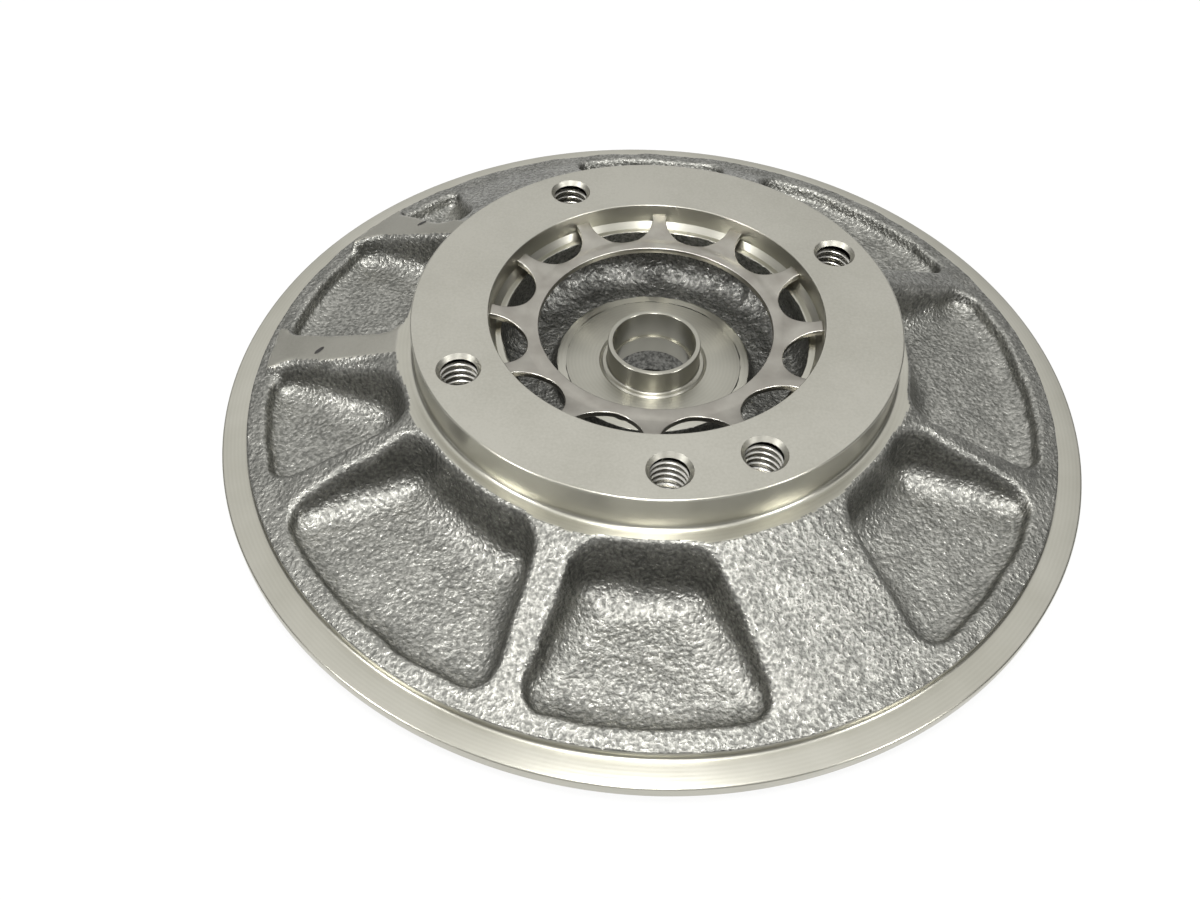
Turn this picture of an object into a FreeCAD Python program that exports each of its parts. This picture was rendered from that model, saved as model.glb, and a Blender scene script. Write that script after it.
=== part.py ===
"""Backplate of a turbocharger's compressor: a turned iron casting, with a spring star ring in its bore.

Millimetres. The axis of the shaft is Z, and the origin is on it, in the flat face that the plate rests on.
Angles are in degrees, counted anticlockwise from +X as seen from above, the side with the flange.
"""

import FreeCAD, Part

import math
import os

Vector = FreeCAD.Vector
AXIS = Vector(0, 0, 1)
ORIGIN = Vector(0, 0, 0)

# Rim: a thin turned lip for the clamp ring, and below it the register that enters the compressor cover
rim_radius = 85.0
rim_thickness = 2.6
rim_chamfer = 0.4
rim_face_width = 5.1
register_radius = 80.5
register_height = 3.0
register_chamfer = 0.5

# Underside: one shallow turned recess behind the compressor wheel
recess_radius = 38.0
recess_depth = 1.5

# Cast top: a band beside the rim, then a cone that climbs to the turned shoulder
band_step = 1.9
band_width = 4.0
band_rise = 1.0
shoulder_radius = 49.6
shoulder_height = 14.6
cast_edge_radius = 0.6

# Flange: the round face that bolts to the bearing housing, with its turned spigot wall
flange_radius = 46.25
flange_height = 22.0
flange_chamfer = 0.35
flange_root_radius = 0.9

# Bore of the flange and the ledge at its foot
bore_radius = 31.7
bore_chamfer = 0.2
ledge_depth = 5.1
ledge_chamfer = 1.1
ledge_width = 2.4

# Oil space below the ledge, left as cast. Its wall bulges outwards a little under the ledge.
cavity_undercut = 1.3
cavity_floor_height = 5.0
cavity_corner_radius = 5.5

# Hub: turned disc, seal tube and stepped bore
hub_radius = 19.2
hub_height = 8.2
hub_edge_chamfer = 0.5
hub_groove_radius = 10.3
hub_groove_width = 0.35
hub_groove_depth = 0.25
tube_radius = 9.05
tube_height = 5.1
tube_wall = 1.0
tube_chamfer = 0.2
tube_root_radius = 0.4
seal_bore_radius = 7.65
seal_bore_height = 7.2
seal_bore_length = 3.8
relief_radius = 9.8

# Tapped holes in the flange: 5/16-18 UNC, four evenly spaced and one more beside the front one
bolt_circle_radius = 39.7
bolt_angles = (30.0, 120.0, 210.0, 300.0)
extra_bolt_angle = 276.0
thread_radius = 3.97
thread_depth = 13.5
drill_tip_angle = 118.0
mouth_chamfer = 0.1

# Pockets between the ribs. Each row gives the angles of the two sides at the outer wall, then at the
# inner wall, all at the height of the band beside the rim. Draft widens the pocket above that.
pocket_outer_radius = 76.0
pocket_inner_radius = 51.0
pocket_outer_corner_radius = 5.0
pocket_inner_corner_radius = 3.2
pocket_floor_rise_outer = -0.8
pocket_floor_rise_inner = 1.7
pocket_draft = 9.0
pocket_foot_radius = 2.4
pockets = (
    (-103.5, -71.0, -99.5, -78.0),
    (-148.5, -107.0, -144.5, -111.0),
    (-176.0, -153.5, -163.5, -152.0),
    (151.5, 177.5, 149.0, 181.5),
    (79.0, 107.5, 82.0, 104.0),
    (32.0, 71.5, 33.0, 69.0),
    (-13.5, 27.0, -14.5, 22.0),
    (-50.0, -17.5, -46.0, -22.0),
)

# The narrow pocket behind the flange stops short of it. Its length is that of its radial walls.
short_pocket = (131.0, 143.0, 136.5, 142.0)
short_pocket_length = 16.0
short_pocket_corner_radius = 2.6
short_pocket_foot_radius = 1.2

# Middle of the wide web that has no pocket
plain_web_angle = -60.0

# Two ribs carry a ground pad that stands a little above the cone. Rows as for the pockets.
pads = (
    (142.0, 153.5, 141.0, 149.0),
    (176.0, 185.0, 181.0, 190.5),
)
pad_outer_radius = 77.6
pad_rise = 1.5

# Star ring: a stamped spring steel retainer whose twelve prongs grip the bore
prong_count = 12
prong_phase = 1.6
star_thickness = 1.25
star_dish_width = 6.1
star_lift = 1.6
star_clearance = 0.02
scallop_radius = 6.8
scallop_web_width = 2.45

# Heights above the resting face, worked out from the sizes above
rim_top = register_height + rim_thickness
flange_top = rim_top + flange_height
shoulder_z = rim_top + shoulder_height
ledge_z = flange_top - ledge_depth
hub_z = rim_top + hub_height
band_z = rim_top + band_step + band_rise
band_inner_radius = rim_radius - rim_face_width - band_width

# How far a cutting or joining solid runs past the surface that it meets
overrun = 1.0


def section_wire(points):
    """Closed section from (radius, height) corners. A corner with a third value is rounded to that radius."""
    edges = []
    ends = []
    for index, corner in enumerate(points):
        here = Vector(corner[0], 0, corner[1])
        if len(corner) == 2:
            ends.append((here, here, None))
            continue
        before = points[index - 1]
        after = points[(index + 1) % len(points)]
        to_before = (Vector(before[0], 0, before[1]) - here).normalize()
        to_after = (Vector(after[0], 0, after[1]) - here).normalize()
        half = to_before.getAngle(to_after) / 2
        reach = corner[2] / math.tan(half)
        middle_way = (to_before + to_after).normalize()
        middle = here + middle_way * (corner[2] / math.sin(half) - corner[2])
        ends.append((here + to_before * reach, here + to_after * reach, middle))
    for index, (start, end, middle) in enumerate(ends):
        if middle is not None:
            edges.append(Part.Arc(start, middle, end).toShape())
        following = ends[(index + 1) % len(ends)][0]
        if end.distanceToPoint(following) > 1e-6:
            edges.append(Part.LineSegment(end, following).toShape())
    return Part.Wire(edges)


def turned(points):
    """Solid made by turning a section right round the axis, from a start in the plain web."""
    shape = Part.Face(section_wire(points)).revolve(ORIGIN, AXIS, 360)
    shape.rotate(ORIGIN, AXIS, plain_web_angle)
    return shape


def polar(radius, degrees, height=0.0):
    """Point at a radius and an angle round the axis."""
    turn = math.radians(degrees)
    return Vector(radius * math.cos(turn), radius * math.sin(turn), height)


def turned_body():
    """Section of the casting as it leaves the lathe, from the resting face round to the bore."""
    rim_inner = rim_radius - rim_face_width
    tube_top = hub_z + tube_height
    groove_in = hub_groove_radius - hub_groove_width
    groove_out = hub_groove_radius + hub_groove_width
    bore_step_z = rim_top + seal_bore_height
    relief_top = bore_step_z - seal_bore_length
    cavity_floor = rim_top + cavity_floor_height
    ledge_inner = bore_radius - ledge_width
    cavity_wall = ledge_inner + cavity_undercut
    return turned((
        (recess_radius, 0),
        (register_radius - register_chamfer, 0),
        (register_radius, register_chamfer),
        (register_radius, register_height),
        (rim_radius - rim_chamfer, register_height),
        (rim_radius, register_height + rim_chamfer),
        (rim_radius, rim_top - rim_chamfer),
        (rim_radius - rim_chamfer, rim_top),
        (rim_inner, rim_top, cast_edge_radius),
        (rim_inner, rim_top + band_step, cast_edge_radius),
        (band_inner_radius, band_z),
        (shoulder_radius, shoulder_z),
        (flange_radius, shoulder_z, flange_root_radius),
        (flange_radius, flange_top - flange_chamfer),
        (flange_radius - flange_chamfer, flange_top),
        (bore_radius + bore_chamfer, flange_top),
        (bore_radius, flange_top - bore_chamfer),
        (bore_radius, ledge_z + ledge_chamfer),
        (bore_radius - ledge_chamfer, ledge_z),
        (ledge_inner, ledge_z),
        (cavity_wall, (ledge_z + cavity_floor) / 2),
        (cavity_wall, cavity_floor, cavity_corner_radius),
        (hub_radius, cavity_floor),
        (hub_radius, hub_z - hub_edge_chamfer),
        (hub_radius - hub_edge_chamfer, hub_z),
        (groove_out, hub_z),
        (hub_groove_radius, hub_z - hub_groove_depth),
        (groove_in, hub_z),
        (tube_radius, hub_z, tube_root_radius),
        (tube_radius, tube_top - tube_chamfer),
        (tube_radius - tube_chamfer, tube_top),
        (tube_radius - tube_wall + tube_chamfer, tube_top),
        (tube_radius - tube_wall, tube_top - tube_chamfer),
        (tube_radius - tube_wall, bore_step_z),
        (seal_bore_radius, bore_step_z),
        (seal_bore_radius, relief_top),
        (relief_radius, relief_top),
        (relief_radius, recess_depth),
        (recess_radius, recess_depth),
    ))


def pocket_outline(sides, inner, corners, inset, height):
    """Closed outline of a pocket: two straight sides, two walls round the axis and four rounded corners.

    The inset moves every wall towards the middle of the pocket, which gives the walls their draft.
    """
    outer = pocket_outer_radius
    start_outer, end_outer, start_inner, end_inner = sides
    ends = []
    for side, (angle_outer, angle_inner) in ((1, (start_outer, start_inner)), (-1, (end_outer, end_inner))):
        foot = polar(inner, angle_inner)
        along = (polar(outer, angle_outer) - foot).normalize()
        inward = AXIS.cross(along) * side
        base = foot + inward * inset
        bends = []
        for wall, sign, corner in ((inner + inset, 1, corners[0]), (outer - inset, -1, corners[1])):
            bend = corner - inset * 0.5
            centre_reach = wall + sign * bend
            start = base + inward * bend
            dot = start.dot(along)
            travel = -dot + math.sqrt(dot * dot - start.dot(start) + centre_reach * centre_reach)
            centre = start + along * travel
            on_side = centre - inward * bend
            on_wall = centre * (wall / centre_reach)
            middle_way = (on_side + on_wall) * 0.5 - centre
            middle = centre + middle_way.normalize() * bend
            bends.append((on_side, middle, on_wall))
        ends.append(bends)
    (start_in, start_out), (end_in, end_out) = ends

    def wall_middle(first, second):
        return (first + second).normalize() * first.Length

    edges = [
        Part.LineSegment(start_in[0], start_out[0]).toShape(),
        Part.Arc(start_out[0], start_out[1], start_out[2]).toShape(),
        Part.Arc(start_out[2], wall_middle(start_out[2], end_out[2]), end_out[2]).toShape(),
        Part.Arc(end_out[2], end_out[1], end_out[0]).toShape(),
        Part.LineSegment(end_out[0], end_in[0]).toShape(),
        Part.Arc(end_in[0], end_in[1], end_in[2]).toShape(),
        Part.Arc(end_in[2], wall_middle(end_in[2], start_in[2]), start_in[2]).toShape(),
        Part.Arc(start_in[2], start_in[1], start_in[0]).toShape(),
    ]
    wire = Part.Wire(edges)
    wire.translate(Vector(0, 0, height))
    return wire


def above_floors():
    """Solid of everything above the sloping floor that the pockets share."""
    low = rim_top + pocket_floor_rise_outer
    high = rim_top + pocket_floor_rise_inner
    ceiling = flange_top + overrun
    return turned((
        (bore_radius, high),
        (pocket_inner_radius, high),
        (pocket_outer_radius, low),
        (rim_radius, low),
        (rim_radius, ceiling),
        (bore_radius, ceiling),
    ))


def pocket_core(sides, inner, corners, foot, floors):
    """Drafted core that leaves one pocket, with a rounded foot."""
    slope = math.tan(math.radians(pocket_draft))
    bottom = rim_top + pocket_floor_rise_outer - overrun
    outlines = []
    for height in (bottom, shoulder_z + overrun):
        outlines.append(pocket_outline(sides, inner, corners, (band_z - height) * slope, height))
    core = Part.makeLoft(outlines, True, True).common(floors)
    floor_top = rim_top + pocket_floor_rise_inner
    floor_edges = [edge for edge in core.Edges if edge.BoundBox.ZMax < (floor_top + band_z) / 2]
    return core.makeFillet(foot, floor_edges)


def rib_pads():
    """Ground pads on two ribs. Their tops fall away outwards, a little less steeply than the cone."""
    inner = shoulder_radius - overrun
    foot = rim_top - overrun
    ceiling = turned((
        (flange_radius, foot),
        (rim_radius, foot),
        (pad_outer_radius, band_z + pad_rise),
        (flange_radius, shoulder_z),
    ))
    placed = []
    for start_outer, end_outer, start_inner, end_inner in pads:
        corners = [
            polar(inner, start_inner, foot),
            polar(pad_outer_radius, start_outer, foot),
            polar(pad_outer_radius, end_outer, foot),
            polar(inner, end_inner, foot),
        ]
        block = Part.Face(Part.makePolygon(corners + corners[:1])).extrude(Vector(0, 0, flange_top))
        placed.append(block.common(ceiling))
    return placed


def tapped_hole(angle):
    """Hole at the thread's outside radius, with a chamfered mouth and a drilled tip."""
    tip = thread_radius / math.tan(math.radians(drill_tip_angle / 2))
    bottom = flange_top - thread_depth
    hole = turned((
        (0, bottom - tip),
        (thread_radius, bottom),
        (thread_radius, flange_top - mouth_chamfer),
        (thread_radius + mouth_chamfer, flange_top),
        (thread_radius + mouth_chamfer, flange_top + overrun),
        (0, flange_top + overrun),
    ))
    hole.translate(polar(bolt_circle_radius, angle))
    return hole


def backplate_casting():
    """The casting: turned body, ground ribs, pockets and tapped holes in one piece of iron."""
    floors = above_floors()
    corners = (pocket_inner_corner_radius, pocket_outer_corner_radius)
    cores = []
    for sides in pockets:
        cores.append(pocket_core(sides, pocket_inner_radius, corners, pocket_foot_radius, floors))
    corners = (short_pocket_corner_radius, short_pocket_corner_radius)
    short_inner = pocket_outer_radius - short_pocket_length
    cores.append(pocket_core(short_pocket, short_inner, corners, short_pocket_foot_radius, floors))
    body = turned_body().fuse(rib_pads())
    body = body.cut(cores)
    holes = [tapped_hole(angle) for angle in bolt_angles + (extra_bolt_angle,)]
    return body.cut(holes).removeSplitter()


def star_ring():
    """Flat ring that dishes up towards prongs left between half-round scallops."""
    reach = bore_radius - star_clearance
    inner = bore_radius - scallop_radius - scallop_web_width
    bend = bore_radius - star_dish_width
    base = ledge_z
    ring = turned((
        (inner, base),
        (bend, base),
        (reach, base + star_lift),
        (reach, base + star_lift + star_thickness),
        (bend, base + star_thickness),
        (inner, base + star_thickness),
    ))
    punch_height = star_lift + star_thickness + 2 * overrun
    punch = Part.makeCylinder(scallop_radius, punch_height, Vector(bore_radius, 0, base - overrun))
    punches = []
    for index in range(prong_count):
        angle = prong_phase + (index + 0.5) * 360.0 / prong_count
        one = punch.copy()
        one.rotate(ORIGIN, AXIS, angle)
        punches.append(one)
    return ring.cut(punches)


PARTS = {
    "backplate_casting": backplate_casting,
    "star_ring": star_ring,
}

os.makedirs("parts", exist_ok=True)
for name, make in PARTS.items():
    shape = make()
    solids = shape.Solids
    if len(solids) != 1 or not shape.isValid():
        raise ValueError(f"{name}: {len(solids)} solids, valid {shape.isValid()}")
    solids[0].exportStep(f"parts/{name}.step")
    print(name, "volume", round(solids[0].Volume), "mm3")
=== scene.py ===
import math
import bmesh
import bpy
import numpy as np
from mathutils import Matrix, Vector, noise


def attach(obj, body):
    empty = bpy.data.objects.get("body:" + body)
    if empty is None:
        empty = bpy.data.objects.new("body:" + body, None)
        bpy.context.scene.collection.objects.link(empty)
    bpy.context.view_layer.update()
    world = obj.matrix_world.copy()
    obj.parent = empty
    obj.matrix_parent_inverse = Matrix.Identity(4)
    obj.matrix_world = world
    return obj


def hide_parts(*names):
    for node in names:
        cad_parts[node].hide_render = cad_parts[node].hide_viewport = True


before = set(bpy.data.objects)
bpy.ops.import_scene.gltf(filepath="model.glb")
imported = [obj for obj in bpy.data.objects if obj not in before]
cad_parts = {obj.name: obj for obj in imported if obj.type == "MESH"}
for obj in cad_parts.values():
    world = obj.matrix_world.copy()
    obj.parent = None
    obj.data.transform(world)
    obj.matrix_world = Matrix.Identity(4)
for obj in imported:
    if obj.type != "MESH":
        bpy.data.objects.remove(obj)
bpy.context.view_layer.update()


# Cast skin of the plate
# The upper side between the rim and the flange is left as it came from the sand mould and the shot
# blaster: a cone with nine pockets, narrow ribs between them, and two ribs whose tops were ground flat.
MM = 0.001
RIM_TOP = 5.6
RIM_FACE_INNER = 79.9
BAND_STEP = 1.9
BAND_Z = 8.5
BAND_INNER = 75.9
SHOULDER_Z = 20.2
SHOULDER_RADIUS = 49.6
FLANGE_RADIUS = 46.25
FLANGE_TOP = 27.6
POCKET_OUTER = 76.0
POCKET_INNER = 51.0
POCKET_CORNERS = (3.2, 5.0)
FLOOR_OUTER = 4.8
FLOOR_INNER = 7.3
DRAFT = math.tan(math.radians(9.0))
POCKETS = (
    (-103.5, -71.0, -99.5, -78.0),
    (-148.5, -107.0, -144.5, -111.0),
    (-176.0, -153.5, -163.5, -152.0),
    (151.5, 177.5, 149.0, 181.5),
    (79.0, 107.5, 82.0, 104.0),
    (32.0, 71.5, 33.0, 69.0),
    (-13.5, 27.0, -14.5, 22.0),
    (-50.0, -17.5, -46.0, -22.0),
)
SHORT_POCKET = (131.0, 143.0, 136.5, 142.0)
SHORT_POCKET_INNER = 60.0
PADS = (
    (142.0, 153.5, 141.0, 149.0),
    (176.0, 185.0, 181.0, 190.5),
)
PAD_OUTER = 77.6
PAD_OUTER_Z = 10.0
POCKET_EDGE = 1.5
POCKET_FOOT = 5.0
FOOT_SPREAD = 1.25
FOOT_LEAST = 4.8
CAST_STEPS = 1000
RUN_OUT = 1.2
RIM_FILLET = 0.6
LUMP_SIZE = 1.1
LUMP_HEIGHT = 0.08
WAVE_SIZE = 6.0
WAVE_HEIGHT = 0.14
PAD_BLEND = 0.8
SAND_GRAIN = 0.72
SKIN_PATCH = 7.0
GRAIN_HEIGHT = 0.27
STAIN_SIZE = 14.0
FEED_MARK = 0.7
MOTTLE_SIZE = 22.0
SPECK_SIZE = 0.5
TOOL_MARK_HEIGHT = 0.02


def add_node(tree, kind, values=None, links=None, **settings):
    """Adds a node: settings are its own properties, values its sockets, links the outputs that feed them."""
    made = tree.nodes.new(kind)
    for name, value in settings.items():
        setattr(made, name, value)
    for socket, value in (values or {}).items():
        made.inputs[socket].default_value = value
    for socket, output in (links or {}).items():
        tree.links.new(output, made.inputs[socket])
    return made


def linear(code):
    """Linear colour with alpha from an sRGB hex value."""
    parts = [int(code[i:i + 2], 16) / 255 for i in (1, 3, 5)]
    return tuple(c / 12.92 if c <= 0.04045 else ((c + 0.055) / 1.055) ** 2.4 for c in parts) + (1.0,)


def new_material(name):
    """Material with an empty Principled shader, and its Object coordinates."""
    material = bpy.data.materials.new(name)
    material.use_nodes = True
    tree = material.node_tree
    place = add_node(tree, "ShaderNodeTexCoord").outputs["Object"]
    return material, tree, tree.nodes["Principled BSDF"], place


def sand_cast_iron(name, dark, light):
    """Grey cast iron as the sand left it: a grey metal skin of fine grains that glint in the light.

    The attribute clear_of_painted_shade is 1 on faces within about 45 degrees of level. It is 0 on steep
    walls and on a piece without the attribute, which get painted shade: their colour is halved."""
    material, tree, shader, place = new_material(name)
    grains = add_node(tree, "ShaderNodeTexNoise",
                      {"Scale": 1 / (SAND_GRAIN * MM), "Detail": 2.5, "Roughness": 0.55}, {"Vector": place})
    pits = add_node(tree, "ShaderNodeTexVoronoi", {"Scale": 1 / (SAND_GRAIN * MM), "Smoothness": 0.5},
                    {"Vector": place}, feature="SMOOTH_F1")
    patches = add_node(tree, "ShaderNodeTexNoise", {"Scale": 1 / (SKIN_PATCH * MM), "Detail": 2.0},
                       {"Vector": place})
    height = add_node(tree, "ShaderNodeMath", {1: -0.3},
                      {0: pits.outputs["Distance"], 2: grains.outputs["Fac"]}, operation="MULTIPLY_ADD")
    tone = add_node(tree, "ShaderNodeMath", {1: 0.3}, {0: patches.outputs["Fac"], 2: height.outputs[0]},
                    operation="MULTIPLY_ADD")
    colour = add_node(tree, "ShaderNodeValToRGB", links={"Fac": tone.outputs[0]})
    ramp = colour.color_ramp.elements
    ramp[0].position = 0.34
    ramp[0].color = linear(dark)
    ramp[1].position = 0.72
    ramp[1].color = linear(light)
    # Painted shade: the colour is scaled from half on steep walls to full on level faces.
    clear_of_painted_shade = add_node(tree, "ShaderNodeAttribute", attribute_name="clear_of_painted_shade")
    share = add_node(tree, "ShaderNodeMapRange", {"To Min": 0.5, "To Max": 1.0},
                     {"Value": clear_of_painted_shade.outputs["Fac"]})
    shown = add_node(tree, "ShaderNodeVectorMath",
                     links={0: colour.outputs["Color"], "Scale": share.outputs[0]}, operation="SCALE")
    tree.links.new(shown.outputs["Vector"], shader.inputs["Base Color"])
    shader.inputs["Metallic"].default_value = 0.95
    rough = add_node(tree, "ShaderNodeMapRange",
                     {"From Min": 0.25, "From Max": 0.55, "To Min": 0.5, "To Max": 0.26},
                     {"Value": height.outputs[0]})
    tree.links.new(rough.outputs[0], shader.inputs["Roughness"])
    bump = add_node(tree, "ShaderNodeBump", {"Strength": 1.0, "Distance": GRAIN_HEIGHT * MM},
                    {"Height": height.outputs[0]})
    tree.links.new(bump.outputs["Normal"], shader.inputs["Normal"])
    return material


def turned_iron(name, dark, light, pull):
    """Grey cast iron off the lathe: satin, with fine rings that draw each reflection out across them.

    Real feed marks are about 0.2 mm apart, too fine to show, and are drawn coarser."""
    material, tree, shader, place = new_material(name)
    stains = add_node(tree, "ShaderNodeTexNoise", {"Scale": 1 / (STAIN_SIZE * MM), "Detail": 4.0},
                      {"Vector": place})
    rings = add_node(tree, "ShaderNodeTexWave",
                     {"Scale": 0.314 / (FEED_MARK * MM), "Distortion": 0.6, "Detail": 1.0},
                     {"Vector": place}, wave_type="RINGS", rings_direction="Z")
    tone = add_node(tree, "ShaderNodeMath", {1: 0.12}, {0: rings.outputs["Fac"], 2: stains.outputs["Fac"]},
                    operation="MULTIPLY_ADD")
    colour = add_node(tree, "ShaderNodeValToRGB", links={"Fac": tone.outputs[0]})
    ramp = colour.color_ramp.elements
    ramp[0].position = 0.3
    ramp[0].color = linear(dark)
    ramp[1].position = 0.85
    ramp[1].color = linear(light)
    tree.links.new(colour.outputs["Color"], shader.inputs["Base Color"])
    shader.inputs["Metallic"].default_value = 1.0
    shader.inputs["Roughness"].default_value = 0.31
    shader.inputs["Anisotropic"].default_value = pull
    shader.inputs["Anisotropic Rotation"].default_value = 0.25
    around = add_node(tree, "ShaderNodeTangent", direction_type="RADIAL", axis="Z")
    tree.links.new(around.outputs["Tangent"], shader.inputs["Tangent"])
    bump = add_node(tree, "ShaderNodeBump", {"Strength": 0.15, "Distance": TOOL_MARK_HEIGHT * MM},
                    {"Height": rings.outputs["Fac"]})
    tree.links.new(bump.outputs["Normal"], shader.inputs["Normal"])
    return material


def ground_iron():
    """Grey cast iron after face grinding: an even satin grey with a faint cloudy mottle and fine specks.

    Its real scratches are too fine to show, and the specks stand for them."""
    material, tree, shader, place = new_material("ground_cast_iron")
    mottle = add_node(tree, "ShaderNodeTexNoise",
                      {"Scale": 1 / (MOTTLE_SIZE * MM), "Detail": 5.0, "Roughness": 0.6}, {"Vector": place})
    specks = add_node(tree, "ShaderNodeTexNoise", {"Scale": 1 / (SPECK_SIZE * MM), "Detail": 2.0},
                      {"Vector": place})
    tone = add_node(tree, "ShaderNodeMath", {1: 0.6}, {0: specks.outputs["Fac"], 2: mottle.outputs["Fac"]},
                    operation="MULTIPLY_ADD")
    colour = add_node(tree, "ShaderNodeValToRGB", links={"Fac": tone.outputs[0]})
    ramp = colour.color_ramp.elements
    ramp[0].position = 0.4
    ramp[0].color = linear("#A9A79C")
    ramp[1].position = 0.95
    ramp[1].color = linear("#B9B7AD")
    tree.links.new(colour.outputs["Color"], shader.inputs["Base Color"])
    shader.inputs["Metallic"].default_value = 1.0
    rough = add_node(tree, "ShaderNodeMapRange", {"To Min": 0.4, "To Max": 0.5},
                     {"Value": mottle.outputs["Fac"]})
    tree.links.new(rough.outputs[0], shader.inputs["Roughness"])
    bump = add_node(tree, "ShaderNodeBump", {"Strength": 0.25, "Distance": TOOL_MARK_HEIGHT * MM},
                    {"Height": specks.outputs["Fac"]})
    tree.links.new(bump.outputs["Normal"], shader.inputs["Normal"])
    return material


def side_distance(x, y, inner, sides):
    """Plan distance outside the two straight sides of a sector, from the row of its four angles.

    Sides that are nearly parallel cross behind the axis, so all that lies behind it counts as outside."""
    start_outer, end_outer, start_inner, end_inner = sides
    worst = None
    for turn, angle_outer, angle_inner in ((1, start_outer, start_inner), (-1, end_outer, end_inner)):
        low, high = math.radians(angle_inner), math.radians(angle_outer)
        foot = np.array((math.cos(low), math.sin(low))) * inner
        head = np.array((math.cos(high), math.sin(high))) * POCKET_OUTER
        along = (head - foot) / np.linalg.norm(head - foot)
        distance = ((x - foot[0]) * along[1] - (y - foot[1]) * along[0]) * turn
        worst = distance if worst is None else np.maximum(worst, distance)
    middle = math.radians((start_outer + end_outer) / 2)
    return np.maximum(worst, -(x * math.cos(middle) + y * math.sin(middle)))


def pocket_surface(x, y, web, waver, sides, inner, corners):
    """Height of one pocket's surface: floor, rounded foot, drafted wall, rounded edge and the web outside."""
    radius = np.hypot(x, y)
    across = side_distance(x, y, inner, sides)
    along = np.maximum(radius - POCKET_OUTER, inner - radius)
    corner = np.where(radius < (inner + POCKET_OUTER) / 2, corners[0], corners[1])
    outside = np.hypot(np.maximum(across + corner, 0), np.maximum(along + corner, 0))
    inset = -(outside + np.minimum(np.maximum(across, along) + corner, 0) - corner) + waver
    floor = np.interp(radius, (POCKET_INNER, POCKET_OUTER), (FLOOR_INNER, FLOOR_OUTER))
    foot = np.clip((web - floor - POCKET_EDGE) * 0.85, 0.8, POCKET_FOOT)
    spread = np.maximum(foot * FOOT_SPREAD, FOOT_LEAST)
    tangent = math.tan(math.radians(90 - 9.0) / 2)
    lean = math.sin(math.radians(9.0))
    top = -(web - BAND_Z) * DRAFT
    edge_centre = top - POCKET_EDGE * tangent
    edge_arc = web - POCKET_EDGE + np.sqrt(np.maximum(POCKET_EDGE ** 2 - (inset - edge_centre) ** 2, 0))
    foot_start = (BAND_Z - floor - foot) * DRAFT
    along_foot = np.clip((inset - foot_start) / spread, 0, 1)
    foot_arc = floor + foot * (1 - np.sqrt(1 - (1 - along_foot) ** 2))
    wall = BAND_Z - inset / DRAFT
    height = np.where(inset > edge_centre, edge_arc, web)
    height = np.where(inset > top + POCKET_EDGE * tangent * lean, wall, height)
    return np.where(inset > foot_start, foot_arc, height)


def grain(points, size, seed):
    """Smooth noise between about -1 and 1 at each point, with lumps of the given size in millimetres."""
    shift = Vector((seed * 7.3, seed * 3.1, seed * 5.7))
    return np.array([noise.noise(Vector(p) / size + shift) for p in points]) * 1.6


def coordinates(mesh):
    flat = np.empty(len(mesh.vertices) * 3)
    mesh.vertices.foreach_get("co", flat)
    return flat.reshape(-1, 3)


def finish_piece(name, bm, materials, sharp=None):
    """Makes a piece of a bmesh that rides on the body, shaded smooth, with edges sharp past an angle."""
    mesh = bpy.data.meshes.new(name)
    bm.to_mesh(mesh)
    bm.free()
    for material in materials:
        mesh.materials.append(material)
    for polygon in mesh.polygons:
        polygon.use_smooth = True
    if sharp is not None:
        mesh.set_sharp_from_angle(angle=math.radians(sharp))
    piece = bpy.data.objects.new(name, mesh)
    bpy.context.scene.collection.objects.link(piece)
    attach(piece, "root")
    return piece


def spin_line(bm, points, steps, sectors=20):
    """Turns a line of (radius, height) points in millimetres round the axis: one sector, then its copies.

    The metal lies on the right of the line, seen along it, so that the faces point outwards."""
    part = bmesh.new()
    verts = [part.verts.new((radius * MM, 0, height * MM)) for radius, height in points]
    edges = [part.edges.new(pair) for pair in zip(verts, verts[1:])]
    bmesh.ops.spin(part, geom=verts + edges, cent=(0, 0, 0), axis=(0, 0, 1), angle=math.tau / sectors,
                   steps=steps // sectors)
    bmesh.ops.spin(part, geom=part.verts[:] + part.edges[:] + part.faces[:], cent=(0, 0, 0), axis=(0, 0, 1),
                   angle=math.tau * (sectors - 1) / sectors, steps=sectors - 1, use_duplicate=True)
    bmesh.ops.remove_doubles(part, verts=part.verts, dist=0.000001)
    mesh = bpy.data.meshes.new("turned_part")
    part.to_mesh(mesh)
    part.free()
    bm.from_mesh(mesh)
    bpy.data.meshes.remove(mesh)


def arc(centre_r, centre_z, radius, start, end, count):
    """Points of a rounded corner in the section, from one angle to another in degrees."""
    turns = [math.radians(start + (end - start) * i / count) for i in range(count + 1)]
    return [(centre_r + radius * math.cos(t), centre_z + radius * math.sin(t)) for t in turns]


iron_cast = sand_cast_iron("shot_blasted_cast_iron", "#767671", "#B0AFA8")
iron_turned = turned_iron("turned_cast_iron", "#B3B1A5", "#C3C1B6", 0.65)
iron_ground = ground_iron()

skin = bmesh.new()
skin_line = [(r, SHOULDER_Z) for r in np.linspace(FLANGE_RADIUS + RUN_OUT, RIM_FACE_INNER, 92)]
skin_line += arc(RIM_FACE_INNER + RIM_FILLET, RIM_TOP + RIM_FILLET, RIM_FILLET, 180, 270, 5)
skin_line += [(RIM_FACE_INNER + 1.0, RIM_TOP)]
spin_line(skin, skin_line, CAST_STEPS)
cast_skin = finish_piece("cast_skin", skin, (iron_cast, iron_turned, iron_ground))

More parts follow.
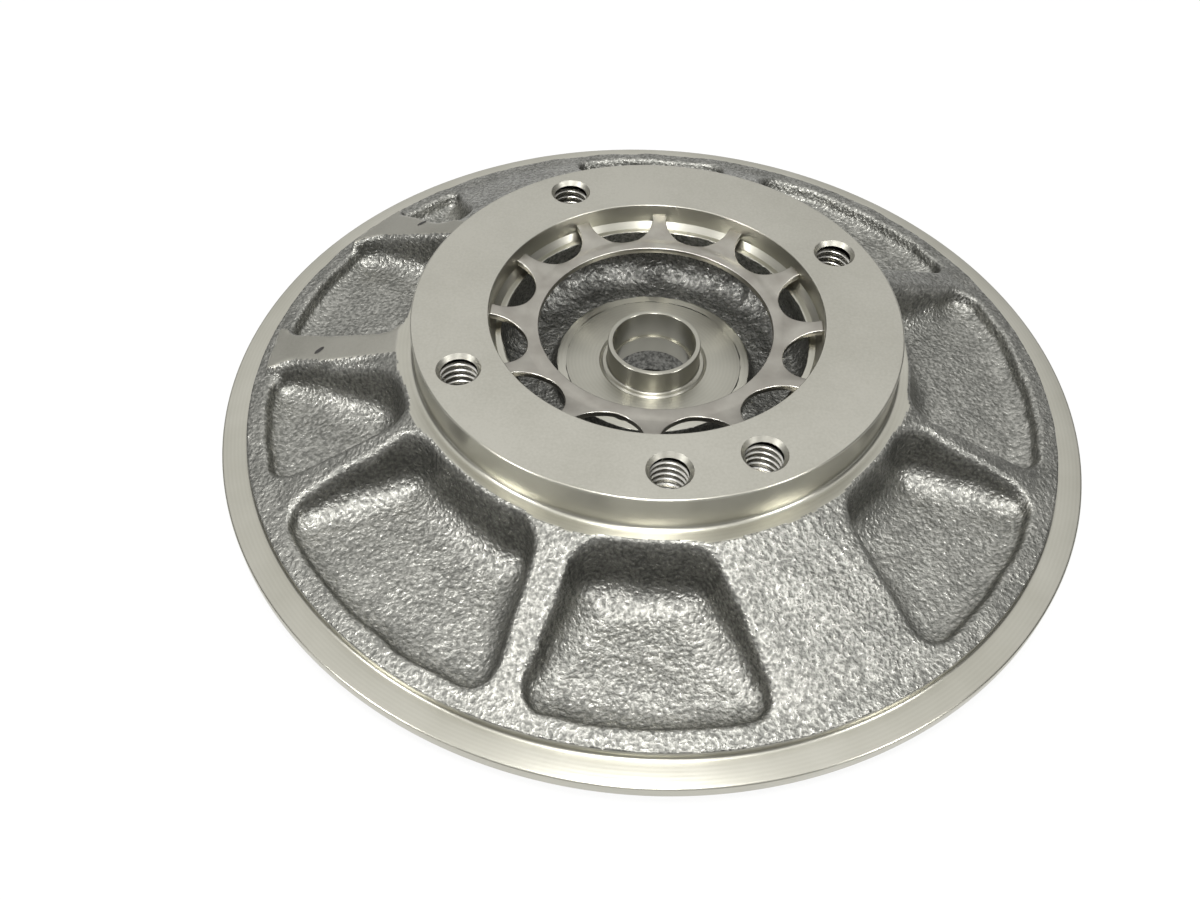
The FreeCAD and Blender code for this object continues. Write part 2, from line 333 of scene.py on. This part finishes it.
points = coordinates(cast_skin.data) / MM
x, y = points[:, 0], points[:, 1]
radius = np.hypot(x, y)
lumps = grain(points * (1, 1, 0), LUMP_SIZE, 1)
waves = grain(points * (1, 1, 0), WAVE_SIZE, 2)
on_skin = radius < RIM_FACE_INNER + 0.01
web_fall = (SHOULDER_Z - BAND_Z) / (BAND_INNER - SHOULDER_RADIUS)
web = np.interp(radius, (FLANGE_RADIUS, BAND_INNER, RIM_FACE_INNER),
                (SHOULDER_Z + (SHOULDER_RADIUS - FLANGE_RADIUS) * web_fall, BAND_Z, RIM_TOP + BAND_STEP))
pad_top = np.interp(radius, (SHOULDER_RADIUS, PAD_OUTER), (SHOULDER_Z, PAD_OUTER_Z))
on_pad = np.zeros(len(points))
for sides in PADS:
    outside = np.maximum(side_distance(x, y, POCKET_INNER, sides), radius - PAD_OUTER + 0.25 * waves)
    on_pad = np.maximum(on_pad, np.clip(0.5 - outside / PAD_BLEND, 0, 1))
ground = on_pad > 0.5
web = web + (np.maximum(pad_top, web) - web) * on_pad * on_pad * (3 - 2 * on_pad)
height = web.copy()
waver = 0.12 * lumps + 0.3 * waves
for sides in POCKETS:
    height = np.minimum(height, pocket_surface(x, y, web, waver, sides, POCKET_INNER, POCKET_CORNERS))
height = np.minimum(height, pocket_surface(x, y, web, waver, SHORT_POCKET, SHORT_POCKET_INNER, (2.6, 2.6)))
cut = web - height
rough = np.where(ground & (cut < 0.3), 0.0, 1.0)
height = height + rough * (LUMP_HEIGHT * lumps + WAVE_HEIGHT * waves)
clamped = height > SHOULDER_Z
height = np.minimum(height, SHOULDER_Z)
points[:, 2] = np.where(on_skin & (points[:, 2] > RIM_TOP + BAND_STEP), height, points[:, 2])
cast_skin.data.vertices.foreach_set("co", (points * MM).ravel())
cast_skin.data.update()
# Painted shade: the attribute halves the colour on the pockets' steep walls, where shade falls, and leaves
# level faces at full colour.
upward = np.array([vert.normal.z for vert in cast_skin.data.vertices])
clear_of_painted_shade = cast_skin.data.attributes.new("clear_of_painted_shade", "FLOAT", "POINT")
clear_of_painted_shade.data.foreach_set("value", np.clip((np.abs(upward) - 0.2) / 0.5, 0, 1))

# Slot 1 is where the shoulder and the rim's face were turned, and slot 2 the ground tops of two ribs.
faces = np.array([tuple(face.vertices) for face in cast_skin.data.polygons])
slots = np.zeros(len(faces), dtype=int)
slots[(clamped[faces].all(axis=1)) & (radius[faces] < 60).all(axis=1)] = 1
slots[(radius[faces] > RIM_FACE_INNER - 0.05).any(axis=1) & (points[faces][:, :, 2] < 6.9).any(axis=1)] = 1
slots[(ground & (cut < 0.25))[faces].all(axis=1) & (slots == 0)] = 2
cast_skin.data.polygons.foreach_set("material_index", slots)
cast_skin.data.update()
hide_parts("backplate_casting")


# Oil cavity
# Below the bore's ledge the casting is hollow round the hub. Its wall and floor are as cast, and the
# ledge and the hub's top are turned, so both end in a ragged line where the tool ran out into the skin.
BORE_RADIUS = 31.7
LEDGE_Z = 22.5
LEDGE_INNER = 29.3
LEDGE_CHAMFER = 1.1
CAVITY_RADIUS = 30.6
CAVITY_FLOOR = 10.6
CAVITY_CORNER = 5.5
HUB_RADIUS = 19.2
HUB_Z = 13.8
CAVITY_STEPS = 540
INNER_LUMP_SIZE = 1.5


def stretch(start, end, spacing):
    """Evenly spaced points of a straight run in the section, without its last point."""
    count = max(1, round(math.dist(start, end) / spacing))
    return [(start[0] + (end[0] - start[0]) * i / count, start[1] + (end[1] - start[1]) * i / count)
            for i in range(count)]


middle_z = (LEDGE_Z + CAVITY_FLOOR) / 2
cavity_line = stretch((BORE_RADIUS - LEDGE_CHAMFER, LEDGE_Z), (LEDGE_INNER, LEDGE_Z), 0.35)
cavity_line += stretch((LEDGE_INNER, LEDGE_Z), (CAVITY_RADIUS, middle_z), 0.4)
cavity_line += stretch((CAVITY_RADIUS, middle_z), (CAVITY_RADIUS, CAVITY_FLOOR + CAVITY_CORNER), 0.4)
cavity_line += arc(CAVITY_RADIUS - CAVITY_CORNER, CAVITY_FLOOR + CAVITY_CORNER, CAVITY_CORNER, 0, -90, 20)
cavity_line += stretch((CAVITY_RADIUS - CAVITY_CORNER - 0.4, CAVITY_FLOOR),
                       (HUB_RADIUS + 1.8, CAVITY_FLOOR), 0.4)
cavity_line += arc(HUB_RADIUS + 1.8, CAVITY_FLOOR + 1.5, 1.5, 270, 180, 6)
cavity_line += stretch((HUB_RADIUS + 0.2, CAVITY_FLOOR + 1.8), (HUB_RADIUS - 0.2, HUB_Z + 0.3), 0.35)
cavity_line += stretch((HUB_RADIUS - 0.2, HUB_Z + 0.3), (HUB_RADIUS - 2.2, HUB_Z + 1.0), 0.35)
cavity = bmesh.new()
spin_line(cavity, cavity_line[::-1], CAVITY_STEPS)
# Painted shade: the cavity's piece and the relief have no clear_of_painted_shade attribute, so this iron's
# colour is halved all over.
iron_inside = sand_cast_iron("cast_iron_painted_shade", "#8A8A85", "#D0CFC8")
cavity_skin = finish_piece("cavity_skin", cavity, (iron_inside, iron_turned))
points = coordinates(cavity_skin.data) / MM
radius = np.hypot(points[:, 0], points[:, 1])
lumps = grain(points, INNER_LUMP_SIZE, 3)
waves = grain(points, WAVE_SIZE, 4)
bulge = 0.11 * lumps + 0.2 * waves
on_ledge = (points[:, 2] > LEDGE_Z - 0.01) & (radius > LEDGE_INNER + 0.05)
swell = np.where(on_ledge, 0, bulge)
scale = (radius - swell) / radius
points[:, 0] *= scale
points[:, 1] *= scale
points[:, 2] += np.where(on_ledge | (points[:, 2] > LEDGE_Z - 0.4), 0, bulge)
inside_hub = radius < HUB_RADIUS + 0.6
on_hub = inside_hub & (points[:, 2] > HUB_Z)
points[:, 2] = np.where(on_hub, HUB_Z, points[:, 2])
cavity_skin.data.vertices.foreach_set("co", (points * MM).ravel())
faces = np.array([tuple(face.vertices) for face in cavity_skin.data.polygons])
slots = (on_ledge[faces].sum(axis=1) > 1) | on_hub[faces].all(axis=1)
cavity_skin.data.polygons.foreach_set("material_index", slots.astype(int))
cavity_skin.data.update()
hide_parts("backplate_casting")


# Turned faces
# Everything that the lathe cut: rim, register, underside, spigot wall, bore, hub, tube and stepped bore.
RIM_RADIUS = 85.0
REGISTER_RADIUS = 80.5
REGISTER_HEIGHT = 3.0
RECESS_RADIUS = 38.0
RECESS_DEPTH = 1.5
RELIEF_RADIUS = 9.8
SEAL_BORE_RADIUS = 7.65
RELIEF_TOP = 9.0
BORE_STEP_Z = 12.8
TUBE_RADIUS = 9.05
TUBE_INNER = 8.05
TUBE_TOP = 18.9
GROOVE_RADIUS = 10.3
TURNED_STEPS = 240

turned = bmesh.new()
outside_line = [(RELIEF_RADIUS, RECESS_DEPTH), (RECESS_RADIUS, RECESS_DEPTH), (RECESS_RADIUS, 0)]
outside_line += [(REGISTER_RADIUS - 0.5, 0), (REGISTER_RADIUS, 0.5), (REGISTER_RADIUS, REGISTER_HEIGHT)]
outside_line += arc(RIM_RADIUS - 0.4, REGISTER_HEIGHT + 0.4, 0.4, 270, 360, 3)
outside_line += arc(RIM_RADIUS - 0.4, RIM_TOP - 0.4, 0.4, 0, 90, 4)
outside_line += [(RIM_FACE_INNER + 1.0, RIM_TOP)]
spin_line(turned, outside_line[::-1], TURNED_STEPS * 2)
spigot_line = [(FLANGE_RADIUS + 1.2, SHOULDER_Z)]
spigot_line += arc(FLANGE_RADIUS + 0.9, SHOULDER_Z + 0.9, 0.9, 270, 180, 5)
spigot_line += arc(FLANGE_RADIUS - 0.35, FLANGE_TOP - 0.35, 0.35, 0, 90, 4)
spin_line(turned, spigot_line[::-1], TURNED_STEPS)
bore_line = arc(BORE_RADIUS + 0.25, FLANGE_TOP - 0.25, 0.25, 90, 180, 3)
bore_line += [(BORE_RADIUS, LEDGE_Z + LEDGE_CHAMFER), (BORE_RADIUS - LEDGE_CHAMFER, LEDGE_Z)]
spin_line(turned, bore_line[::-1], TURNED_STEPS)
hub_line = [(HUB_RADIUS - 2.0, HUB_Z), (GROOVE_RADIUS + 0.35, HUB_Z), (GROOVE_RADIUS, HUB_Z - 0.25)]
hub_line += [(GROOVE_RADIUS - 0.35, HUB_Z)] + arc(TUBE_RADIUS + 0.4, HUB_Z + 0.4, 0.4, 270, 180, 4)
hub_line += arc(TUBE_RADIUS - 0.2, TUBE_TOP - 0.2, 0.2, 0, 90, 3)
hub_line += arc(TUBE_INNER + 0.2, TUBE_TOP - 0.2, 0.2, 90, 180, 3)
hub_line += [(TUBE_INNER, BORE_STEP_Z), (SEAL_BORE_RADIUS, BORE_STEP_Z), (SEAL_BORE_RADIUS, RELIEF_TOP)]
hub_line += [(RELIEF_RADIUS, RELIEF_TOP), (RELIEF_RADIUS, RECESS_DEPTH)]
spin_line(turned, hub_line[::-1], TURNED_STEPS)
# The hub and its tube get a darker copy of the turned iron, and the relief under them the cavity's rough
# iron, whose colour is halved as painted shade.
iron_bored = turned_iron("darker_turned_cast_iron", "#A3A196", "#B4B2A7", 0.8)
for face in turned.faces:
    centre = face.calc_center_median() / MM
    reach = math.hypot(centre.x, centre.y)
    if reach < HUB_RADIUS:
        face.material_index = 2 if RECESS_DEPTH < centre.z < RELIEF_TOP + 0.1 else 1
turned_faces = finish_piece("turned_faces", turned, (iron_turned, iron_bored, iron_inside), sharp=28)
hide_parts("backplate_casting")


# Marks on the ground ribs
# Two small oblong pits in the ground tops of the ribs, such as a hardness tester's tip leaves. They are
# drawn as flat, nearly black oblongs.
MARKS = ((145.1, 65.2), (-176.2, 66.1))
MARK_LENGTH = 2.3
MARK_WIDTH = 1.1
MARK_TILT = math.radians(38.0)
MARK_LIFT = 0.05


def dark_pit():
    """Nearly black and dull, with a faint mottle."""
    material, tree, shader, place = new_material("nearly_black_pit")
    dirt = add_node(tree, "ShaderNodeTexNoise", {"Scale": 1 / (0.5 * MM), "Detail": 2.0}, {"Vector": place})
    colour = add_node(tree, "ShaderNodeValToRGB", links={"Fac": dirt.outputs["Fac"]})
    ramp = colour.color_ramp.elements
    ramp[0].color = linear("#151413")
    ramp[1].color = linear("#3C3A37")
    tree.links.new(colour.outputs["Color"], shader.inputs["Base Color"])
    shader.inputs["Roughness"].default_value = 0.6
    return material


marks = bmesh.new()
for angle, reach in MARKS:
    turn = math.radians(angle)
    fall = (SHOULDER_Z - PAD_OUTER_Z) / (PAD_OUTER - SHOULDER_RADIUS)
    surface = SHOULDER_Z - (reach - SHOULDER_RADIUS) * fall
    made = bmesh.ops.create_circle(marks, cap_ends=True, segments=20, radius=0.5 * MM)
    tilts = (Matrix.Rotation(MARK_TILT - turn, 3, "Z"), Matrix.Rotation(math.atan(fall), 3, "Y"),
             Matrix.Rotation(turn, 3, "Z"))
    bmesh.ops.scale(marks, verts=made["verts"], vec=(MARK_LENGTH, MARK_WIDTH, 1.0))
    for tilt in tilts:
        bmesh.ops.rotate(marks, verts=made["verts"], cent=(0, 0, 0), matrix=tilt)
    spot = Vector((reach * math.cos(turn), reach * math.sin(turn), surface + MARK_LIFT)) * MM
    bmesh.ops.translate(marks, verts=made["verts"], vec=spot)
pad_marks = finish_piece("pad_marks", marks, (dark_pit(),))
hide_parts("backplate_casting")


# Flange face
# The ring that bolts to the bearing housing is ground flat. Five screw holes open in it: four in a
# square and one more, which sets the way round that the housing fits.
BOLT_CIRCLE = 39.7
BOLT_ANGLES = (30.0, 120.0, 210.0, 300.0, 276.0)
MOUTH_RADIUS = 4.07
HOLE_STEPS = 48

flange = bmesh.new()
loops = [(0, 0, BORE_RADIUS + 0.25, TURNED_STEPS), (0, 0, FLANGE_RADIUS - 0.35, TURNED_STEPS)]
for angle in BOLT_ANGLES:
    turn = math.radians(angle)
    loops.append((BOLT_CIRCLE * math.cos(turn), BOLT_CIRCLE * math.sin(turn), MOUTH_RADIUS, HOLE_STEPS))
for centre_x, centre_y, loop_radius, steps in loops:
    made = bmesh.ops.create_circle(flange, segments=steps, radius=loop_radius * MM)
    bmesh.ops.translate(flange, verts=made["verts"], vec=(centre_x * MM, centre_y * MM, FLANGE_TOP * MM))
bmesh.ops.triangle_fill(flange, edges=flange.edges, use_beauty=True, normal=(0, 0, 1))
flange_face = finish_piece("flange_face", flange, (iron_ground,))
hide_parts("backplate_casting")


# Tapped holes
# Five blind holes, drilled in the iron, countersunk and tapped 5/16-18. Each is one thread from the
# mouth's cone down to a short plain end and the drill's cone.
THREAD_MAJOR = 3.95
THREAD_MINOR = 3.35
THREAD_PITCH = 1.411
THREAD_TURNS = 8
MOUTH_DEPTH = 0.85
HOLE_BOTTOM = FLANGE_TOP - 13.5
DRILL_CONE = 2.1
STREAK_SIZE = 0.4


def cut_thread():
    """Grey cast iron cut by a tap: bright, smooth flanks that catch the light in thin arcs."""
    material, tree, shader, place = new_material("tapped_cast_iron")
    streaks = add_node(tree, "ShaderNodeTexNoise", {"Scale": 1 / (STREAK_SIZE * MM), "Detail": 2.0},
                       {"Vector": place})
    colour = add_node(tree, "ShaderNodeValToRGB", links={"Fac": streaks.outputs["Fac"]})
    ramp = colour.color_ramp.elements
    ramp[0].color = linear("#BDBBB3")
    ramp[1].color = linear("#D2D0C9")
    tree.links.new(colour.outputs["Color"], shader.inputs["Base Color"])
    shader.inputs["Metallic"].default_value = 1.0
    shader.inputs["Roughness"].default_value = 0.25
    return material


thread = bmesh.new()
ridge = [(THREAD_MINOR, 0), (THREAD_MINOR, 0.6), (THREAD_MAJOR, 0.95), (THREAD_MAJOR, 1.06),
         (THREAD_MINOR, THREAD_PITCH)]
low = FLANGE_TOP - 0.5 - THREAD_PITCH * (THREAD_TURNS + 1)
verts = [thread.verts.new((r * MM, 0, (low + z) * MM)) for r, z in ridge]
edges = [thread.edges.new(pair) for pair in zip(verts, verts[1:])]
bmesh.ops.spin(thread, geom=verts + edges, cent=(0, 0, 0), axis=(0, 0, 1), angle=math.tau * THREAD_TURNS,
               steps=HOLE_STEPS * THREAD_TURNS, dvec=(0, 0, THREAD_PITCH / HOLE_STEPS * MM))
for vert in thread.verts:
    depth = FLANGE_TOP - vert.co.z / MM
    countersink = MOUTH_RADIUS - depth * (MOUTH_RADIUS - THREAD_MINOR) / MOUTH_DEPTH
    reach = math.hypot(vert.co.x, vert.co.y) / MM
    if reach < countersink + 0.02:
        vert.co.x *= (countersink + 0.02) / reach
        vert.co.y *= (countersink + 0.02) / reach
spin_line(thread, [(THREAD_MINOR, FLANGE_TOP - MOUTH_DEPTH), (MOUTH_RADIUS, FLANGE_TOP)], HOLE_STEPS, 4)
hole_end = [(0, HOLE_BOTTOM - DRILL_CONE), (THREAD_MINOR, HOLE_BOTTOM), (THREAD_MINOR, low + 1.0)]
spin_line(thread, hole_end, HOLE_STEPS, 4)
one_hole = bpy.data.meshes.new("one_hole")
thread.to_mesh(one_hole)
thread.free()
tapped = bmesh.new()
for angle in BOLT_ANGLES:
    turn = math.radians(angle)
    made = len(tapped.verts)
    tapped.from_mesh(one_hole)
    bmesh.ops.translate(tapped, verts=tapped.verts[made:],
                        vec=Vector((math.cos(turn), math.sin(turn), 0)) * BOLT_CIRCLE * MM)
bmesh.ops.remove_doubles(tapped, verts=tapped.verts, dist=0.000002)
tapped_holes = finish_piece("tapped_holes", tapped, (cut_thread(), iron_ground), sharp=30)
# The countersunk mouths are as satin as the face.
for polygon in tapped_holes.data.polygons:
    lowest = min(tapped_holes.data.vertices[i].co.z for i in polygon.vertices)
    if abs(lowest / MM - FLANGE_TOP + MOUTH_DEPTH) < 0.01:
        polygon.material_index = 1
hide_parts("backplate_casting")


# Star ring
# A retainer stamped from 1.25 mm spring steel and dished, so that its twelve prongs bite into the bore.
# Its flat middle is level with the bore's ledge but stands clear of it: the prongs alone hold the ring.
STAR_EDGE = 0.4
CLOUD_SIZE = 5.0
SCRATCH_SIZE = 0.7


def spring_steel(name, dark, light, roughness):
    """Cold-rolled spring steel, tumbled after stamping: browner and smoother than the iron.

    The ring's rounded edges get a lighter copy of their own, a painted highlight."""
    material, tree, shader, place = new_material(name)
    clouds = add_node(tree, "ShaderNodeTexNoise", {"Scale": 1 / (CLOUD_SIZE * MM), "Detail": 3.0},
                      {"Vector": place})
    colour = add_node(tree, "ShaderNodeValToRGB", links={"Fac": clouds.outputs["Fac"]})
    ramp = colour.color_ramp.elements
    ramp[0].position = 0.3
    ramp[0].color = linear(dark)
    ramp[1].position = 0.75
    ramp[1].color = linear(light)
    tree.links.new(colour.outputs["Color"], shader.inputs["Base Color"])
    shader.inputs["Metallic"].default_value = 1.0
    shader.inputs["Roughness"].default_value = roughness
    scratches = add_node(tree, "ShaderNodeTexNoise", {"Scale": 1 / (SCRATCH_SIZE * MM), "Detail": 2.0},
                         {"Vector": place})
    bump = add_node(tree, "ShaderNodeBump", {"Strength": 0.2, "Distance": TOOL_MARK_HEIGHT * MM},
                    {"Height": scratches.outputs["Fac"]})
    tree.links.new(bump.outputs["Normal"], shader.inputs["Normal"])
    return material


star = bmesh.new()
star.from_mesh(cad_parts["star_ring"].data)
bmesh.ops.remove_doubles(star, verts=star.verts, dist=0.000002)
bmesh.ops.dissolve_limit(star, angle_limit=math.radians(2), verts=star.verts, edges=star.edges)
corners = [edge for edge in star.edges if edge.calc_face_angle(0) > math.radians(40)]
bmesh.ops.bevel(star, geom=corners, offset=STAR_EDGE * MM, offset_type="OFFSET", affect="EDGES",
                segments=3, profile=0.5, material=-1, clamp_overlap=True)
steel_flat = spring_steel("tumbled_spring_steel", "#96928A", "#AFACA3", 0.36)
steel_edge = spring_steel("spring_steel_painted_edge_highlight", "#D6D3CA", "#E6E4DC", 0.3)
star_piece = finish_piece("star_spring", star, (steel_flat, steel_edge), sharp=35)
# Painted highlight: the rounded edges, sloping between the flat faces and the sides, take the lighter steel.
for polygon in star_piece.data.polygons:
    polygon.material_index = 1 if 0.3 < abs(polygon.normal.z) < 0.86 else 0
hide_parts("star_ring")


# Floor, light and camera
# A plain white table under soft light, with one lamp overhead, one in front and one at each side in
# front. The room is dim near the floor, so that the steep walls of the pockets stay dark.
TABLE_RADIUS = 3.0
SHADED_RADIUS = 78.0
TABLE_GLOW = 0.85
SHADE_DISC_GLOW = 0.6
SHADE_DISC_RADIUS = 36.0
SHADE_DISC_HEIGHT = 0.3
SHADE_DISC_MOTTLE = 0.8


def table_white():
    """White table: plain white to the eye and in the metal's reflections, but for the plate's soft shadow."""
    material, tree, shader, place = new_material("white_table")
    shader.inputs["Base Color"].default_value = linear("#E8E8E6")
    shader.inputs["Roughness"].default_value = 0.9
    ray = add_node(tree, "ShaderNodeLightPath")
    seen = add_node(tree, "ShaderNodeMath",
                    links={0: ray.outputs["Is Camera Ray"], 1: ray.outputs["Is Glossy Ray"]},
                    operation="MAXIMUM")
    seen = add_node(tree, "ShaderNodeMath", links={0: seen.outputs[0], 1: ray.outputs["Is Transmission Ray"]},
                    operation="MAXIMUM")
    reach = add_node(tree, "ShaderNodeVectorMath", links={0: place}, operation="LENGTH")
    outside = add_node(tree, "ShaderNodeMath", {1: SHADED_RADIUS * MM}, {0: reach.outputs["Value"]},
                       operation="GREATER_THAN")
    seen = add_node(tree, "ShaderNodeMath", links={0: seen.outputs[0], 1: outside.outputs[0]},
                    operation="MULTIPLY")
    share = add_node(tree, "ShaderNodeMath", {1: TABLE_GLOW}, {0: seen.outputs[0]}, operation="MULTIPLY")
    glow = add_node(tree, "ShaderNodeEmission", {"Color": (1.0, 1.0, 1.0, 1.0), "Strength": 1.0})
    mixed = add_node(tree, "ShaderNodeMixShader",
                     links={0: share.outputs[0], 1: shader.outputs[0], 2: glow.outputs[0]})
    tree.links.new(mixed.outputs[0], tree.nodes["Material Output"].inputs["Surface"])
    return material


table = bmesh.new()
bmesh.ops.create_circle(table, cap_ends=True, segments=96, radius=TABLE_RADIUS)
table_mesh = bpy.data.meshes.new("table")
table.to_mesh(table_mesh)
table.free()
table_mesh.materials.append(table_white())
table_top = bpy.data.objects.new("table", table_mesh)
bpy.context.scene.collection.objects.link(table_top)


def painted_shade_disc_material():
    """A dull, nearly black disc under the plate's open centre, with a faint mottle: painted shade of the
    table there.

    In the metal's reflections it glows light, as the table does outside the plate: a painted reflection in
    the bore above it."""
    material, tree, shader, place = new_material("dark_matte_painted_shade")
    disc_mottle = add_node(tree, "ShaderNodeTexNoise", {"Scale": 1 / (SHADE_DISC_MOTTLE * MM), "Detail": 3.0},
                      {"Vector": place})
    colour = add_node(tree, "ShaderNodeValToRGB", links={"Fac": disc_mottle.outputs["Fac"]})
    ramp = colour.color_ramp.elements
    ramp[0].color = linear("#2A2A28")
    ramp[1].color = linear("#454542")
    tree.links.new(colour.outputs["Color"], shader.inputs["Base Color"])
    shader.inputs["Roughness"].default_value = 0.95
    ray = add_node(tree, "ShaderNodeLightPath")
    share = add_node(tree, "ShaderNodeMath", {1: SHADE_DISC_GLOW}, {0: ray.outputs["Is Glossy Ray"]},
                     operation="MULTIPLY")
    glow = add_node(tree, "ShaderNodeEmission", {"Color": (1.0, 1.0, 1.0, 1.0), "Strength": 1.0})
    mixed = add_node(tree, "ShaderNodeMixShader",
                     links={0: share.outputs[0], 1: shader.outputs[0], 2: glow.outputs[0]})
    tree.links.new(mixed.outputs[0], tree.nodes["Material Output"].inputs["Surface"])
    return material


# Painted shade: a dark disc laid on the table under the plate's open centre, where the table lies in the
# plate's shade.
painted_shade_disc = bmesh.new()
made = bmesh.ops.create_circle(painted_shade_disc, cap_ends=True, segments=96, radius=SHADE_DISC_RADIUS * MM)
bmesh.ops.translate(painted_shade_disc, verts=made["verts"], vec=(0, 0, SHADE_DISC_HEIGHT * MM))
painted_shade_mesh = bpy.data.meshes.new("painted_shade_disc")
painted_shade_disc.to_mesh(painted_shade_mesh)
painted_shade_disc.free()
painted_shade_mesh.materials.append(painted_shade_disc_material())
painted_shade_object = bpy.data.objects.new("painted_shade_disc", painted_shade_mesh)
bpy.context.scene.collection.objects.link(painted_shade_object)

world = bpy.data.worlds.new("room")
world.use_nodes = True
bpy.context.scene.world = world
room = world.node_tree
way = add_node(room, "ShaderNodeTexCoord").outputs["Generated"]
overhead = add_node(room, "ShaderNodeVectorMath", {1: (-0.1, 0.17, 0.98)}, {0: way}, operation="DOT_PRODUCT")
sideways = add_node(room, "ShaderNodeSeparateXYZ", links={0: way})
sideways = add_node(room, "ShaderNodeMath", {1: 2.0}, {0: sideways.outputs["X"]}, operation="POWER")
strip = add_node(room, "ShaderNodeMath", {1: -0.3}, {0: sideways.outputs[0], 2: overhead.outputs["Value"]},
                 operation="MULTIPLY_ADD")
light = add_node(room, "ShaderNodeMapRange",
                 {"From Min": 0.26, "From Max": 0.64, "To Min": 0.05, "To Max": 1.0},
                 {"Value": strip.outputs[0]}, interpolation_type="SMOOTHSTEP")
backdrop = room.nodes["Background"]
backdrop.inputs["Color"].default_value = (1.0, 1.0, 1.0, 1.0)
room.links.new(light.outputs[0], backdrop.inputs["Strength"])
white = add_node(room, "ShaderNodeBackground", {"Color": (1.0, 1.0, 1.0, 1.0), "Strength": 1.0})
ray = add_node(room, "ShaderNodeLightPath")
seen = add_node(room, "ShaderNodeMath",
                links={0: ray.outputs["Is Camera Ray"], 1: ray.outputs["Is Transmission Ray"]},
                operation="MAXIMUM")
both = add_node(room, "ShaderNodeMixShader",
                links={0: seen.outputs[0], 1: backdrop.outputs[0], 2: white.outputs[0]})
room.links.new(both.outputs[0], room.nodes["World Output"].inputs["Surface"])

LAMPS = (
    ("overhead_lamp", -86.0, 80.0, 1.0, 0.35, 4.0),
    ("front_lamp", -86.0, 48.0, 0.9, 0.2, 1.6),
    ("left_lamp", -146.0, 36.0, 0.9, 0.22, 2.8),
    ("right_lamp", -30.0, 36.0, 0.9, 0.22, 2.3),
)
for name, azimuth, elevation, distance, size, power in LAMPS:
    data = bpy.data.lights.new(name, "AREA")
    data.shape = "DISK"
    data.size = size
    data.energy = power
    lamp = bpy.data.objects.new(name, data)
    level = distance * math.cos(math.radians(elevation))
    lamp.location = (level * math.cos(math.radians(azimuth)), level * math.sin(math.radians(azimuth)),
                     distance * math.sin(math.radians(elevation)))
    lamp.rotation_euler = Vector(lamp.location).to_track_quat("Z", "Y").to_euler()
    bpy.context.scene.collection.objects.link(lamp)

camera_data = bpy.data.cameras.new("camera")
camera_data.sensor_width = 36.0
camera_data.lens = 32.353
camera = bpy.data.objects.new("camera", camera_data)
camera.location = (0.0, -0.15356, 0.16403)
camera.rotation_euler = (math.radians(40.722), math.radians(-0.959), math.radians(4.859))
bpy.context.scene.collection.objects.link(camera)
bpy.context.scene.camera = camera
bpy.context.scene.view_settings.view_transform = "Standard"
